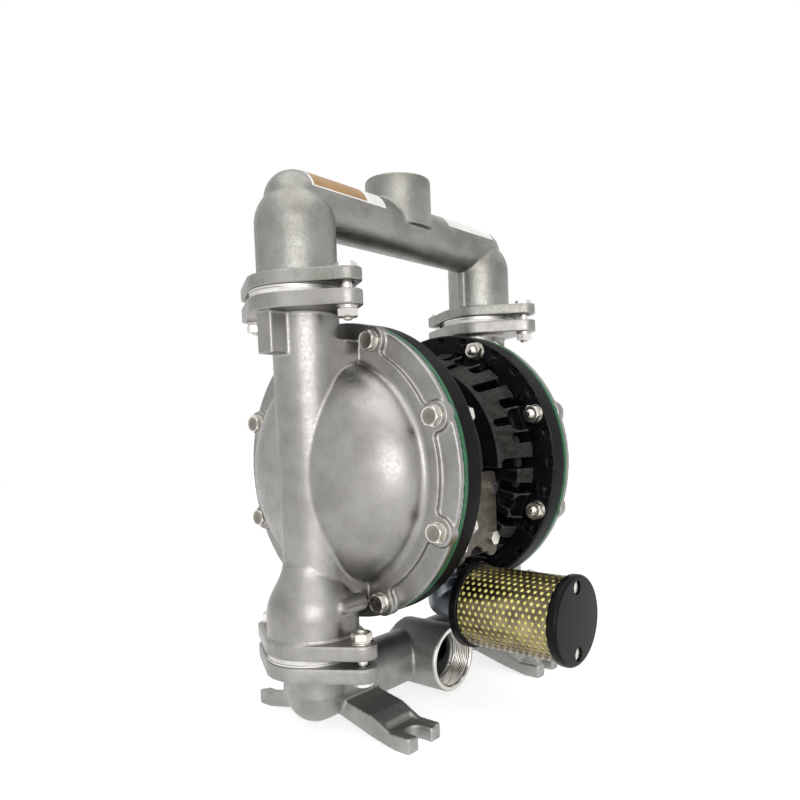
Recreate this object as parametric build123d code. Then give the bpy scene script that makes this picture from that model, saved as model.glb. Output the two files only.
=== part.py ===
from build123d import *
import os
from math import sin, cos, radians, sqrt

# Air operated double diaphragm pump, in millimetres.
# Origin: centre of the base on the floor. +X runs along the pump shaft, -Y is the front, +Z is up.
# The two sides are mirror images: every "right" piece is built at +X and the left one is its mirror.

# Overall layout, stacked up from the floor
inlet_pipe_height = 40.3        # floor to the middle of the inlet pipe
inlet_neck = 41.2               # inlet pipe to the middle of the lower flange joint
joint_rise = 168.5              # pump shaft to the middle of each flange joint, up and down
outlet_neck = 87.1              # upper flange joint to the middle of the outlet pipe
port_rise = 51.6                # outlet pipe to the face of the outlet port
column_offset = 147.2           # middle plane to each fluid column

# Chamber stack, measured outwards from the middle plane
hub_face = 14.0                 # back of each air chamber
air_rim_face = 66.3             # back of the air chamber's rim
air_rim_width = 22.0
diaphragm_thickness = 5.0
cover_rim_thickness = 6.5
cover_land_rise = 5.7           # raised land and bolt lobes above the rim
rim_radius = 147.3
bolt_margin = 12.1              # rim's edge to the cover bolts
cover_bolt_count = 8
cover_bolt_radius = 5.0
bolt_clearance = 0.5

# Outer cover
land_margin = 20.3              # rim's edge to the raised land
dome_margin = 36.3              # rim's edge to the dome
dome_height = 58.5              # apex above the raised land
dome_blend = 6.0                # hollow corner between dome and land
cover_wall = 6.0
column_radius = 32.0
column_inset = 7.2              # column centre line inside the flange centre line
column_draft = 4.5              # how much wider each side wall gets at its root
column_bore = 23.0
housing_radius = 44.0           # inlet ball housing at the foot of the column
lobe_radius = 14.0
lobe_blend = 5.0
gusset_width = 20.0             # upright ribs under and over the flanges, on the outside of the column
gusset_length = 52.0
upper_gusset_step = 1.5         # each gusset's face inside the housing's outer line
lower_gusset_step = 6.0
drain_radius = 8.0              # plugged bosses on both sides of the ball housing
drain_rise = 42.0
drain_step = 6.0

# Flange joints with two bolts, and the seats clamped between them
seat_thickness = 6.5
seat_outer_radius = 44.6
seat_bore = 21.5
flange_hub_radius = 47.0
flange_ear_radius = 14.0
flange_bolt_spread = 64.8       # joint centre to each flange bolt
manifold_flange_thickness = 12.4
cover_flange_thickness = 14.0
flange_bolt_radius = 5.0

# Check balls
ball_radius = 27.0
ball_lift = 12.0
ball_gap = 0.3                  # ball to seat at rest, and ball to stop at full lift
cage_radius = 32.0
cage_guide_gap = 0.6            # ball to guide ribs
cage_rib_width = 5.0
cage_stop_depth = 6.0

# Outlet manifold
outlet_pipe_radius = 27.8
elbow_tube_radius = 37.6
elbow_shoulder = 63.5           # joint plane to the centre of the domed top
port_radius = 35.5              # outside of both threaded ports
port_thread_radius = 29.8
port_thread_length = 26.0
pipe_wall = 5.0
casting_rib_width = 6.0

# Inlet manifold
inlet_pipe_radius = 28.4
inlet_port_reach = 55.7
foot_offset = 113.0             # middle plane to the feet
foot_width = 46.5
foot_reach = 107.4
foot_pad_height = 14.5
foot_slot_width = 18.0
foot_slot_depth = 20.4          # mouth to the bottom of the round end
foot_root_height = 29.7         # top of the arm where it leaves the pipe
spot_width = 35.0
spot_depth = 1.3
spot_reach = 74.0

# Air chamber
drum_back_margin = 35.3         # rim's edge to the drum's surface at its back
drum_front_margin = 21.3        # and at the rim
drum_step_depth = 7.0
drum_step_width = 6.0
cavity_gap = 1.0                # washer to cavity floor at full stroke
cavity_margin = 35.8
cavity_chamfer = 12.0
hub_radius = 46.0
void_margin = 58.3
void_end = 58.0                 # outer end of the cored ring inside the drum
pocket_width = 11.5
pocket_depth = 30.0             # drum's surface at the rim to the floor of a pocket
pocket_lip = 3.0                # what a pocket leaves of the rim's edge
pocket_bite = 5.0               # how far a pocket cuts into the rim's back
pocket_rib_width = 6.0          # rib left standing in each pocket, on the rim's back
pocket_rib_lip = 8.5            # rim's edge to the rib's outer end
long_rib_start = 16.0           # drum's surface down to the inner end of a rib in a long pocket
pocket_angle = 12.9             # side pockets, each way from the long one
long_pocket_start = 19.0
short_pocket_start = 37.0
nut_pocket_width = 25.0
nut_pocket_start = 38.0
slot_width = 9.0                # narrow slot behind each nut
slot_depth = 24.0

# Pump shaft and diaphragms
shaft_radius = 12.0
stroke = 11.0                   # each way from the middle
running_gap = 0.06
bush_wall = 4.5
bush_length = 22.0
seal_length = 6.0
washer_radius = 70.0
inner_washer_thickness = 8.0
outer_washer_thickness = 7.0
outer_washer_rise = 9.0
convolution_radius = 91.0
convolution_width = 19.0

# Centre section
centre_radius = 86.0
front_half_width = 37.0
front_face = 87.0               # middle of the pump to the front block's face
front_block_depth = 47.0
front_top_drop = 6.0            # pump shaft down to the front block's top
front_bottom_drop = 95.0
front_corner = 8.0
recess_gap = 2.5
front_plate_thickness = 3.5
front_plate_lap = 1.5           # plate beyond the block at its sides
front_plate_corner = 6.0
plate_lobe_radius = 9.0
plate_arch_radius = 12.0
plate_bolt_spread = 28.5
plate_bolt_drops = (79.0, 25.0)
plate_bolt_radius = 4.0
plate_bolt_depth = 16.0
chamber_screw_circle = 32.0
chamber_screw_count = 4
chamber_screw_radius = 5.0
pilot_offset = 62.0             # pump shaft to the pilot rod, towards the rear
pilot_radius = 5.0
pilot_stroke = 4.0

# Air valve at the rear
valve_margin = 55.3             # air chamber's rim edge to the valve's mounting face
valve_gasket_thickness = 1.5
valve_depth = 52.0
valve_half_width = 48.0
valve_half_height = 38.0
valve_cap_thickness = 8.0
spool_radius = 13.0
spool_stroke = 6.0
air_boss_radius = 18.0
air_boss_length = 9.0
air_thread_radius = 9.3
air_thread_length = 18.0
valve_screw_radius = 3.0

# Exhaust and muffler
muffler_side = -20.0            # middle plane to the muffler's axis
muffler_drop = 139.4            # pump shaft down to the muffler's axis
exhaust_leg = 62.0              # pump shaft to the elbow's upright leg, towards the front
elbow_reach = 28.0
elbow_body_radius = 17.5
elbow_bead_radius = 21.0
elbow_bead_width = 6.0
exhaust_bore = 10.5
nipple_radius = 13.3
boss_radius = 19.0
boss_drop = 8.0
muffler_start = 98.0            # pump shaft to the inner cap's back
muffler_length = 118.0
muffler_cap_radius = 42.6
inner_cap_thickness = 10.0
outer_cap_thickness = 10.6
sleeve_radius = 39.8
sleeve_wall = 1.2
filter_wall = 4.0
sleeve_seat_depth = 3.0
muffler_screw_offset = 31.0
muffler_screw_radius = 3.0

# Fasteners
hex_ratio = 1.7                 # across flats over thread diameter
head_ratio = 0.64               # head height over thread diameter
nut_ratio = 0.8
washer_thickness = 2.0
washer_margin = 5.0
thread_stand = 3.5              # thread showing past a nut

# Places worked out from the sizes above
shaft_height = inlet_pipe_height + inlet_neck + joint_rise
outlet_joint = shaft_height + joint_rise
inlet_joint = shaft_height - joint_rise
outlet_pipe_height = outlet_joint + outlet_neck
port_height = outlet_pipe_height + port_rise
bolt_circle = rim_radius - bolt_margin
land_radius = rim_radius - land_margin
dome_radius = rim_radius - dome_margin
drum_back_radius = rim_radius - drum_back_margin
drum_front_radius = rim_radius - drum_front_margin
drum_step_radius = drum_front_radius - drum_step_depth
cavity_radius = rim_radius - cavity_margin
cavity_depth = inner_washer_thickness + stroke + cavity_gap
void_radius = rim_radius - void_margin
pocket_floor = drum_front_radius - pocket_depth
clamp_in = air_rim_face + air_rim_width
clamp_out = clamp_in + diaphragm_thickness
rim_face = clamp_out + cover_rim_thickness
land_face = rim_face + cover_land_rise
cavity_floor = clamp_in - cavity_depth
half_seat = seat_thickness / 2
seat_rise = sqrt(ball_radius ** 2 - seat_bore ** 2)
column_x = column_offset - column_inset
stop_rise = half_seat + seat_rise + ball_radius + ball_lift + 2 * ball_gap
pilot_reach = cavity_gap + pilot_stroke - ball_gap
front_top = shaft_height - front_top_drop
front_bottom = shaft_height - front_bottom_drop
muffler_height = shaft_height - muffler_drop
valve_face = rim_radius - valve_margin
valve_back = valve_face + valve_gasket_thickness
valve_centre = valve_back + valve_depth / 2
muffler_end = muffler_start + muffler_length

LOW = (Align.CENTER, Align.CENTER, Align.MIN)


def along_z(radius, low, high, x=0.0, y=0.0):
    """Round bar along Z between two heights."""
    return Pos(x, y, low) * Cylinder(radius, high - low, align=LOW)


def along_x(radius, near, far, y=0.0, z=shaft_height):
    """Round bar along X between two places."""
    return Pos(near, y, z) * Rot(0, 90, 0) * Cylinder(radius, far - near, align=LOW)


def along_y(radius, front, back, x=0.0, z=shaft_height):
    """Round bar along Y from the front place to the back place."""
    return Pos(x, front, z) * Rot(-90, 0, 0) * Cylinder(radius, back - front, align=LOW)


def block(x0, x1, y0, y1, z0, z1):
    """Box between two corners."""
    size = Box(x1 - x0, y1 - y0, z1 - z0)
    return Pos((x0 + x1) / 2, (y0 + y1) / 2, (z0 + z1) / 2) * size


def turned(points):
    """Solid of revolution about the shaft from (x, radius) points."""
    profile = make_face(Polyline(*points, close=True))
    return Pos(0, 0, shaft_height) * revolve(profile, Axis.X)


def around_shaft(angle, radius):
    """(y, z) of a place on a circle about the shaft, with the angle measured from the top towards the front."""
    return -radius * sin(radians(angle)), shaft_height + radius * cos(radians(angle))


def cover_bolt_angles():
    return [360 / cover_bolt_count * (k + 0.5) for k in range(cover_bolt_count)]


def mirrored(piece):
    return mirror(piece, about=Plane.YZ)


def group(pieces):
    return Compound(children=[Solid(piece.solid().wrapped) for piece in pieces])


def save(name, piece):
    export_step(piece, f"parts/{name}.step")


# Fasteners

def hexagon(radius, height):
    """Hexagonal bolt head or nut for a thread of this radius, standing on its face."""
    return extrude(RegularPolygon(radius * hex_ratio, 6, major_radius=False), height)


def hex_bolt(radius, grip):
    """Hex bolt under its head at the origin, with its shank pointing down."""
    head = hexagon(radius, 2 * radius * head_ratio)
    return head + Pos(0, 0, -grip) * Cylinder(radius, grip, align=LOW)


def hex_nut(radius, height):
    return hexagon(radius, height) - Cylinder(radius + running_gap, height * 3)


def flat_washer(radius, thickness):
    ring = Cylinder(radius + washer_margin, thickness, align=LOW)
    return ring - Cylinder(radius + running_gap, thickness * 3)


# Flange joints

def oval_flange(thickness):
    """Two-bolt flange: a round hub with an ear at the front and the back, lying on the XY plane."""
    hub = Circle(flange_hub_radius)
    ears = [Pos(0, side * flange_bolt_spread) * Circle(flange_ear_radius) for side in (-1, 1)]
    edges = hub.edges() + ears[0].edges() + ears[1].edges()
    plate = extrude(make_hull(edges), thickness)
    for side in (-1, 1):
        hole = Cylinder(flange_bolt_radius + bolt_clearance, thickness * 3)
        plate -= Pos(0, side * flange_bolt_spread, 0) * hole
    return plate


def ball_cage(low):
    """Hollow of a ball cage above a seat, with guide ribs and stop bars left standing."""
    top = low + stop_rise - half_seat + cage_stop_depth
    hollow = along_z(cage_radius, low, top, column_offset)
    guide = ball_radius + cage_guide_gap
    stop_bar = cage_radius * 0.45
    for quarter in range(4):
        turn = Pos(column_offset, 0, 0) * Rot(0, 0, 45 + 90 * quarter)
        hollow -= turn * block(guide, cage_radius + 1, -cage_rib_width / 2, cage_rib_width / 2, low, top)
        stop = block(stop_bar, cage_radius + 1, -cage_rib_width / 2, cage_rib_width / 2,
                     top - cage_stop_depth, top)
        hollow -= turn * stop
    return hollow


# Manifolds

def outlet_elbow():
    """Right-hand ball cage of the outlet manifold: domed tube, rounded pipe end, flange and casting rib."""
    low = outlet_joint + half_seat
    shoulder = outlet_joint + elbow_shoulder
    elbow = Pos(column_offset, 0, low) * oval_flange(manifold_flange_thickness)
    elbow += along_z(elbow_tube_radius, low, shoulder, column_offset)
    elbow += Pos(column_offset, 0, shoulder) * Sphere(elbow_tube_radius)
    elbow += along_x(outlet_pipe_radius, 0, column_offset, z=outlet_pipe_height)
    elbow += Pos(column_offset, 0, outlet_pipe_height) * Sphere(outlet_pipe_radius)
    inner = column_offset - elbow_tube_radius
    for side in (-1, 1):
        ridge = side * casting_rib_width / 2
        elbow += block(inner - 1.5, column_offset, ridge - 1, ridge + 1, low, outlet_pipe_height)
    return elbow


def outlet_hollow():
    """Passage through the right-hand half of the outlet manifold."""
    low = outlet_joint + half_seat
    bore = outlet_pipe_radius - pipe_wall
    hollow = ball_cage(low)
    hollow += along_z(bore, low + stop_rise - half_seat, outlet_pipe_height, column_offset)
    hollow += along_x(bore, -1, column_offset, z=outlet_pipe_height)
    hollow += Pos(column_offset, 0, outlet_pipe_height) * Sphere(bore)
    return hollow


def outlet_manifold():
    right = outlet_elbow()
    body = right + mirrored(right) + along_z(port_radius, outlet_pipe_height, port_height)
    hollow = outlet_hollow()
    body = body - hollow - mirrored(hollow)
    body -= along_z(outlet_pipe_radius - 2, outlet_pipe_height, port_height)
    return body - along_z(port_thread_radius, port_height - port_thread_length, port_height + 1)


def foot():
    """Front right foot: a sloping arm that ends in a flat pad with an open slot."""
    arm_start = inlet_pipe_radius * 0.35
    outline = Polyline(
        (-arm_start, inlet_pipe_height - inlet_pipe_radius * 0.75),
        (-foot_reach * 0.57, foot_pad_height * 0.36),
        (-foot_reach * 0.82, 0),
        (-foot_reach, 0),
        (-foot_reach, foot_pad_height),
        (-spot_reach - 9, foot_pad_height),
        (-foot_reach * 0.56, foot_root_height - 4),
        (-arm_start, foot_root_height + 6),
        close=True,
    )
    profile = Plane.YZ * make_face(outline)
    arm = Pos(foot_offset - foot_width / 2, 0, 0) * extrude(profile, foot_width)
    corners = arm.edges().filter_by(Axis.Z).sort_by(Axis.Y)[:2]
    arm = fillet(corners, 3)
    root = -foot_reach + foot_slot_depth - foot_slot_width / 2
    slot = block(foot_offset - foot_slot_width / 2, foot_offset + foot_slot_width / 2,
                 -foot_reach - 1, root, -1, foot_pad_height * 2)
    slot += along_z(foot_slot_width / 2, -1, foot_pad_height * 2, foot_offset, root)
    floor = foot_pad_height - spot_depth
    spot = block(foot_offset - spot_width / 2, foot_offset + spot_width / 2,
                 -foot_reach - 1, -spot_reach, floor, foot_pad_height * 3)
    wall = spot.edges().filter_by(Axis.X).sort_by(Axis.Y)[-2:].sort_by(Axis.Z)[0]
    spot = fillet(wall, 5)
    return arm - slot - spot


def inlet_manifold():
    high = inlet_joint - half_seat
    elbow = Pos(column_offset, 0, high - cover_flange_thickness) * oval_flange(cover_flange_thickness)
    elbow += along_z(inlet_pipe_radius + 1.5, inlet_pipe_height, high, column_offset)
    elbow += Pos(column_offset, 0, inlet_pipe_height) * Sphere(inlet_pipe_radius)
    elbow += along_x(inlet_pipe_radius, 0, column_offset, z=inlet_pipe_height)
    front = foot()
    elbow = elbow + front + mirror(front, about=Plane.XZ)
    body = elbow + mirrored(elbow)
    body += along_y(port_radius, -inlet_port_reach, port_radius * 0.4, z=inlet_pipe_height)
    body += Pos(0, 0, inlet_pipe_height) * Sphere(port_radius)
    bore = inlet_pipe_radius - pipe_wall
    hollow = along_x(bore, -1, column_offset, z=inlet_pipe_height)
    hollow += Pos(column_offset, 0, inlet_pipe_height) * Sphere(bore)
    hollow += along_z(bore, inlet_pipe_height, high + 1, column_offset)
    body = body - hollow - mirrored(hollow)
    body -= along_y(port_radius - pipe_wall - 3, -inlet_port_reach, 0, z=inlet_pipe_height)
    mouth = -inlet_port_reach
    return body - along_y(port_thread_radius, mouth - 1, mouth + port_thread_length, z=inlet_pipe_height)


def seat(plane_height):
    """White seat ring of the right-hand column, with a chamfered lip under its ball."""
    ring = along_z(seat_outer_radius, plane_height - half_seat, plane_height + half_seat, column_offset)
    ring -= along_z(seat_bore, plane_height - seat_thickness, plane_height + seat_thickness, column_offset)
    return ring


def check_ball(plane_height):
    centre = plane_height + half_seat + seat_rise + ball_gap
    return Pos(column_offset, 0, centre) * Sphere(ball_radius)


# Outer cover

def dome(radius, height):
    """Half ellipsoid on the raised land, bulging away from the pump, with a short round foot behind it."""
    arc = EllipticalCenterArc((land_face, 0), height, radius, start_angle=0, arc_size=90)
    foot_end = (clamp_out, radius)
    outline = [arc, Line((land_face, radius), foot_end), Line(foot_end, (clamp_out, 0)),
               Line((clamp_out, 0), (land_face + height, 0))]
    return Pos(0, 0, shaft_height) * revolve(make_face(outline), Axis.X)


def blended_dome():
    """Outside of the dome with the hollow corner round its foot."""
    shape = dome(dome_radius, dome_height)
    shape += along_x(dome_radius + 2 * dome_blend, clamp_out, land_face)
    corner = shape.edges().filter_by(GeomType.CIRCLE).sort_by(
        lambda edge: abs(edge.radius - dome_radius) + abs(edge.center().X - land_face))[0]
    return fillet(corner, dome_blend)


def cover_land():
    """Raised land of the cover with a lobe around each bolt, as a flat plate."""
    sketch = Rot(0, 0, 90 + cover_bolt_angles()[0]) * Circle(land_radius)
    for angle in cover_bolt_angles():
        lobe = Pos(bolt_circle - land_radius * 0.93, 0) * Rot(0, 0, 180) * Circle(lobe_radius)
        reach = Rot(0, 0, 90 + angle) * Pos(land_radius * 0.93, 0) * lobe
        sketch += reach
    sketch = fillet(sketch.vertices(), lobe_blend)
    plate = extrude(sketch, land_face - clamp_out)
    return Pos(clamp_out, 0, shaft_height) * Rot(0, 90, 0) * plate


def ball_housing():
    """Flared housing of the inlet ball at the foot of the column."""
    low = inlet_joint + half_seat
    straight = low + cover_flange_thickness + (housing_radius - column_radius) * 1.6
    top = straight + housing_radius * 1.1
    with_curve = [
        Line((0, low), (housing_radius, low)),
        Line((housing_radius, low), (housing_radius, straight)),
        Spline((housing_radius, straight), (column_radius - column_inset + 2, top),
               tangents=[(0, 1), (-0.15, 1)]),
        Line((column_radius - column_inset + 2, top), (0, top)),
        Line((0, top), (0, low)),
    ]
    profile = Plane.XZ * make_face(with_curve)
    return Pos(column_offset, 0, 0) * revolve(profile, Axis.Z)


def column():
    """Half-round upright with straight walls that run back to the land."""
    low = inlet_joint + half_seat
    high = outlet_joint - half_seat
    upright = along_z(column_radius, low, high, column_x)
    root = column_radius + column_draft
    web = make_face(Polyline((clamp_out, -root), (clamp_out, root), (column_x, column_radius),
                             (column_x, -column_radius), close=True))
    return upright + Pos(0, 0, shaft_height - land_radius) * extrude(web, 2 * land_radius)


def outer_cover():
    """Right-hand outer cover: rim, lobed land, dome, column, flanges, ball housing and lugs."""
    low = inlet_joint + half_seat
    high = outlet_joint - half_seat
    shell = along_x(rim_radius, clamp_out, rim_face)
    shell += cover_land()
    shell += blended_dome()
    shell += column()
    shell += ball_housing()
    shell += Pos(column_offset, 0, low) * oval_flange(cover_flange_thickness)
    shell += Pos(column_offset, 0, high - cover_flange_thickness) * oval_flange(cover_flange_thickness)
    lug_reach = column_offset + housing_radius
    side = gusset_width / 2
    middle = cover_flange_thickness / 2
    shell += block(column_offset, lug_reach - upper_gusset_step, -side, side, high - gusset_length, high - middle)
    shell += block(column_offset, lug_reach - lower_gusset_step, -side, side, low + middle, low + gusset_length)
    for side in (-1, 1):
        drain = side * (housing_radius - drain_step)
        shell += along_x(drain_radius, land_face + 2.5 * cover_bolt_radius, column_offset, drain, low + drain_rise)
        shell += Pos(column_offset, drain, low + drain_rise) * Sphere(drain_radius)
    shell -= along_x(cavity_radius, clamp_out - 1, rim_face)
    shell -= dome(dome_radius - cover_wall, dome_height - cover_wall)
    shell -= ball_cage(low)
    shell -= along_z(column_bore, low + stop_rise, high + 1, column_x)
    shell -= along_z(seat_bore + 4, high - cover_flange_thickness, high + 1, column_offset)
    for angle in cover_bolt_angles():
        y, z = around_shaft(angle, bolt_circle)
        shell -= along_x(cover_bolt_radius + bolt_clearance, clamp_out - 1, land_face + dome_height, y, z)
    return shell


# Air chamber

def radial_pocket(angle, width, start, floor, end):
    """Axial pocket with a round end, cut into the drum from outside at this angle."""
    pocket = block(start + width / 2, end, -width / 2, width / 2, floor, 2 * rim_radius)
    pocket += along_z(width / 2, floor, 2 * rim_radius, start + width / 2)
    return Pos(0, 0, shaft_height) * Rot(angle, 0, 0) * pocket


def rim_pocket(angle, start, rib_floor):
    """Pocket between two ribs that runs on into the rim's back, round a narrow rib in its middle."""
    pocket = block(air_rim_face - 1, air_rim_face + pocket_bite, -pocket_width / 2, pocket_width / 2,
                   pocket_floor, rim_radius - pocket_lip)
    half_rib = pocket_rib_width / 2
    pocket -= block(air_rim_face - 2, air_rim_face + pocket_bite + 1, -half_rib, half_rib,
                    rib_floor, rim_radius - pocket_rib_lip)
    pocket = Pos(0, 0, shaft_height) * Rot(angle, 0, 0) * pocket
    return radial_pocket(angle, pocket_width, start, pocket_floor, air_rim_face) + pocket


def centre_recess():
    """Room that both air chambers leave for the front block, the exhaust and the air valve."""
    side = front_half_width + recess_gap
    room = block(hub_face - 1, side, -rim_radius, -front_face + front_block_depth + recess_gap,
                 muffler_height - 10, front_top + recess_gap)
    valve_side = valve_half_width + valve_cap_thickness + 2 * recess_gap
    rear = block(hub_face - 1, valve_side, valve_face - 2 * recess_gap, rim_radius,
                 shaft_height - valve_half_height - recess_gap, shaft_height + valve_half_height + recess_gap)
    return room + rear


def air_chamber():
    """Right-hand air chamber: rim, cored drum with pockets between its ribs, hub and air cavity."""
    step = air_rim_face - drum_step_width
    body = turned([
        (hub_face, 0), (hub_face, drum_back_radius), (step, drum_front_radius), (step, drum_step_radius),
        (air_rim_face, drum_step_radius), (air_rim_face, rim_radius), (clamp_in, rim_radius), (clamp_in, 0),
    ])
    body -= turned([(cavity_floor, 0), (cavity_floor, cavity_radius - cavity_chamfer),
                    (cavity_floor + cavity_chamfer, cavity_radius), (clamp_in + 1, cavity_radius), (clamp_in + 1, 0)])
    body -= turned([(hub_face - 1, hub_radius), (hub_face - 1, void_radius), (void_end, void_radius),
                    (void_end, hub_radius)])
    for angle in cover_bolt_angles():
        middle = angle + 180 / cover_bolt_count
        body -= rim_pocket(middle, long_pocket_start, drum_front_radius - long_rib_start)
        for side in (-pocket_angle, pocket_angle):
            body -= rim_pocket(middle + side, short_pocket_start, drum_front_radius)
        body -= radial_pocket(angle, nut_pocket_width, nut_pocket_start, drum_step_radius - 2, air_rim_face)
        body -= radial_pocket(angle, slot_width, long_pocket_start, drum_front_radius - slot_depth,
                              nut_pocket_start + slot_width)
        y, z = around_shaft(angle, bolt_circle)
        body -= along_x(cover_bolt_radius + bolt_clearance, air_rim_face - 1, clamp_in + 1, y, z)
    body -= centre_recess()
    body -= along_x(shaft_radius + 1.5, hub_face - 1, cavity_floor + 1)
    seat_depth = bush_length + seal_length
    body -= along_x(shaft_radius + bush_wall, cavity_floor - seat_depth, cavity_floor + 1)
    body -= along_x(pilot_radius + running_gap, hub_face - 1, cavity_floor + 1, pilot_offset)
    for angle in chamber_screw_angles():
        y, z = around_shaft(angle, chamber_screw_circle)
        body -= along_x(chamber_screw_radius + bolt_clearance, hub_face - 1, cavity_floor + 1, y, z)
        body -= along_x(2 * chamber_screw_radius, cavity_floor - 2 * chamber_screw_radius, cavity_floor + 1, y, z)
    return body


def chamber_screw_angles():
    return [360 / chamber_screw_count * (k + 0.5) for k in range(chamber_screw_count)]


# Moving core

def diaphragm():
    """Right-hand diaphragm: flat centre, one rolled convolution towards the air side, flat clamped rim."""
    inner = convolution_radius - convolution_width
    outer = convolution_radius + convolution_width
    roll = Pos(clamp_out, convolution_radius) * (Circle(convolution_width)
                                                 - Circle(convolution_width - diaphragm_thickness))
    profile = roll & Pos(clamp_out - convolution_width, convolution_radius) * Rectangle(
        2 * convolution_width, 4 * convolution_width)
    for low, high in ((shaft_radius + ball_gap, inner + diaphragm_thickness / 2),
                      (outer - diaphragm_thickness / 2, rim_radius)):
        profile += Pos((clamp_in + clamp_out) / 2, (low + high) / 2) * Rectangle(diaphragm_thickness, high - low)
    ring = Pos(0, 0, shaft_height) * revolve(profile, Axis.X)
    for angle in cover_bolt_angles():
        y, z = around_shaft(angle, bolt_circle)
        ring -= along_x(cover_bolt_radius + bolt_clearance, clamp_in - 1, clamp_out + 1, y, z)
    return ring


def pump_shaft():
    end = clamp_out + outer_washer_thickness
    return along_x(shaft_radius, -end, end)


def inner_washer():
    washer = along_x(washer_radius, clamp_in - inner_washer_thickness, clamp_in)
    return washer - along_x(shaft_radius + running_gap, 0, clamp_out)


def outer_washer():
    """Right-hand outer washer: a domed disc with a hexagon on its nose, closed over the shaft end."""
    edge = clamp_out + outer_washer_thickness
    washer = turned([(clamp_out, 0), (clamp_out, washer_radius), (clamp_out + 3, washer_radius),
                     (edge + outer_washer_rise / 2, shaft_radius * 2), (edge + outer_washer_rise, shaft_radius * 1.6),
                     (edge + outer_washer_rise, 0)])
    return washer - along_x(shaft_radius + running_gap, clamp_out - 1, edge + running_gap)


def shaft_bushes():
    far = cavity_floor - seal_length
    bush = along_x(shaft_radius + bush_wall - running_gap, far - bush_length, far)
    bush -= along_x(shaft_radius + running_gap, 0, cavity_floor)
    return group([bush, mirrored(bush)])


def shaft_seals():
    seal = along_x(shaft_radius + bush_wall - running_gap, cavity_floor - seal_length, cavity_floor)
    seal -= along_x(shaft_radius + running_gap, 0, clamp_in)
    return group([seal, mirrored(seal)])


def pilot_rod():
    end = cavity_floor + pilot_reach
    return along_x(pilot_radius, -end, end, pilot_offset)


# Centre section

def centre_block():
    """Body between the air chambers: round web, front exhaust block, rear valve block and exhaust boss."""
    body = along_x(centre_radius, -hub_face, hub_face)
    front_back = -front_face + front_block_depth
    front = block(-front_half_width, front_half_width, -front_face, front_back, front_bottom, front_top)
    front = fillet(front.edges().filter_by(Axis.Y), front_corner)
    body += front
    body += block(-hub_face, hub_face, 0, valve_face, shaft_height - valve_half_height,
                  shaft_height + valve_half_height)
    body += along_z(boss_radius, front_bottom - boss_drop, front_bottom + 10, muffler_side, -exhaust_leg)
    body -= along_z(nipple_radius + running_gap, front_bottom - boss_drop - 1, front_bottom + 12,
                    muffler_side, -exhaust_leg)
    body -= along_z(exhaust_bore, front_bottom, front_top - 25, muffler_side, -exhaust_leg)
    body -= along_x(shaft_radius + 1.5, -hub_face - 1, hub_face + 1)
    body -= along_x(pilot_radius + running_gap, -hub_face - 1, hub_face + 1, pilot_offset)
    for angle in chamber_screw_angles():
        y, z = around_shaft(angle, chamber_screw_circle)
        body -= along_x(chamber_screw_radius + running_gap, -hub_face - 1, hub_face + 1, y, z)
    for x, z in plate_bolt_places():
        body -= along_y(plate_bolt_radius + running_gap, -front_face - 1, -front_face + plate_bolt_depth + 2, x, z)
    return body


def plate_bolt_places():
    return [(x, shaft_height - drop) for x in (-plate_bolt_spread, plate_bolt_spread) for drop in plate_bolt_drops]


def front_plate():
    """Steel plate on the front block, with two lobes at its lower edge and an arch between them."""
    side = front_half_width + front_plate_lap
    front = -front_face - front_plate_thickness
    low = front_bottom + plate_lobe_radius / 3
    plate = block(-side, side, front, -front_face, low, front_top - front_plate_lap)
    plate = fillet(plate.edges().filter_by(Axis.Y), front_plate_corner)
    for x in (-plate_bolt_spread, plate_bolt_spread):
        plate += along_y(plate_lobe_radius, front, -front_face, x, low + plate_lobe_radius / 3)
    plate -= along_y(plate_arch_radius, front - 1, -front_face + 1, 0, low - plate_arch_radius / 3)
    for x, z in plate_bolt_places():
        plate -= along_y(plate_bolt_radius + bolt_clearance, front - 1, -front_face + 1, x, z)
    return plate


def plate_bolts():
    front = -front_face - front_plate_thickness
    bolt = hex_bolt(plate_bolt_radius, front_plate_thickness + plate_bolt_depth)
    return group([Pos(x, front, z) * Rot(90, 0, 0) * bolt for x, z in plate_bolt_places()])


def chamber_screws():
    """Cap screws that hold the right-hand air chamber to the centre block, heads sunk in the cavity floor."""
    screws = []
    head = 2 * chamber_screw_radius - ball_gap
    for angle in chamber_screw_angles():
        y, z = around_shaft(angle, chamber_screw_circle)
        shank = along_x(chamber_screw_radius, 1, cavity_floor - head, y, z)
        screws.append(shank + along_x(1.6 * chamber_screw_radius, cavity_floor - 2 * chamber_screw_radius,
                                      cavity_floor, y, z))
    return group(screws)


# Air valve

def valve_gasket():
    gasket = block(-hub_face, hub_face, valve_face, valve_back, shaft_height - valve_half_height,
                   shaft_height + valve_half_height)
    return fillet(gasket.edges().filter_by(Axis.Y), 4)


def air_valve_body():
    """Valve body behind the centre block, bored for the spool, with the air inlet boss at its rear."""
    far = valve_back + valve_depth
    body = block(-valve_half_width, valve_half_width, valve_back, far, shaft_height - valve_half_height,
                 shaft_height + valve_half_height)
    body = fillet(body.edges().filter_by(Axis.X), 12)
    for x in (-valve_half_width * 0.72, valve_half_width * 0.72):
        body -= block(x - 4, x + 4, far - 5, far + 1, shaft_height - valve_half_height - 1,
                      shaft_height + valve_half_height + 1)
    body += along_y(air_boss_radius, far - 4, far + air_boss_length)
    body -= along_y(air_thread_radius, far + air_boss_length - air_thread_length, far + air_boss_length + 1)
    body -= along_x(spool_radius + running_gap, -valve_half_width - 1, valve_half_width + 1, valve_centre)
    for y, z in valve_screw_places():
        for side in (-1, 1):
            end = side * valve_half_width
            body -= along_x(valve_screw_radius + running_gap, min(end, end - side * 14), max(end, end - side * 14),
                            y, z)
    return body


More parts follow.
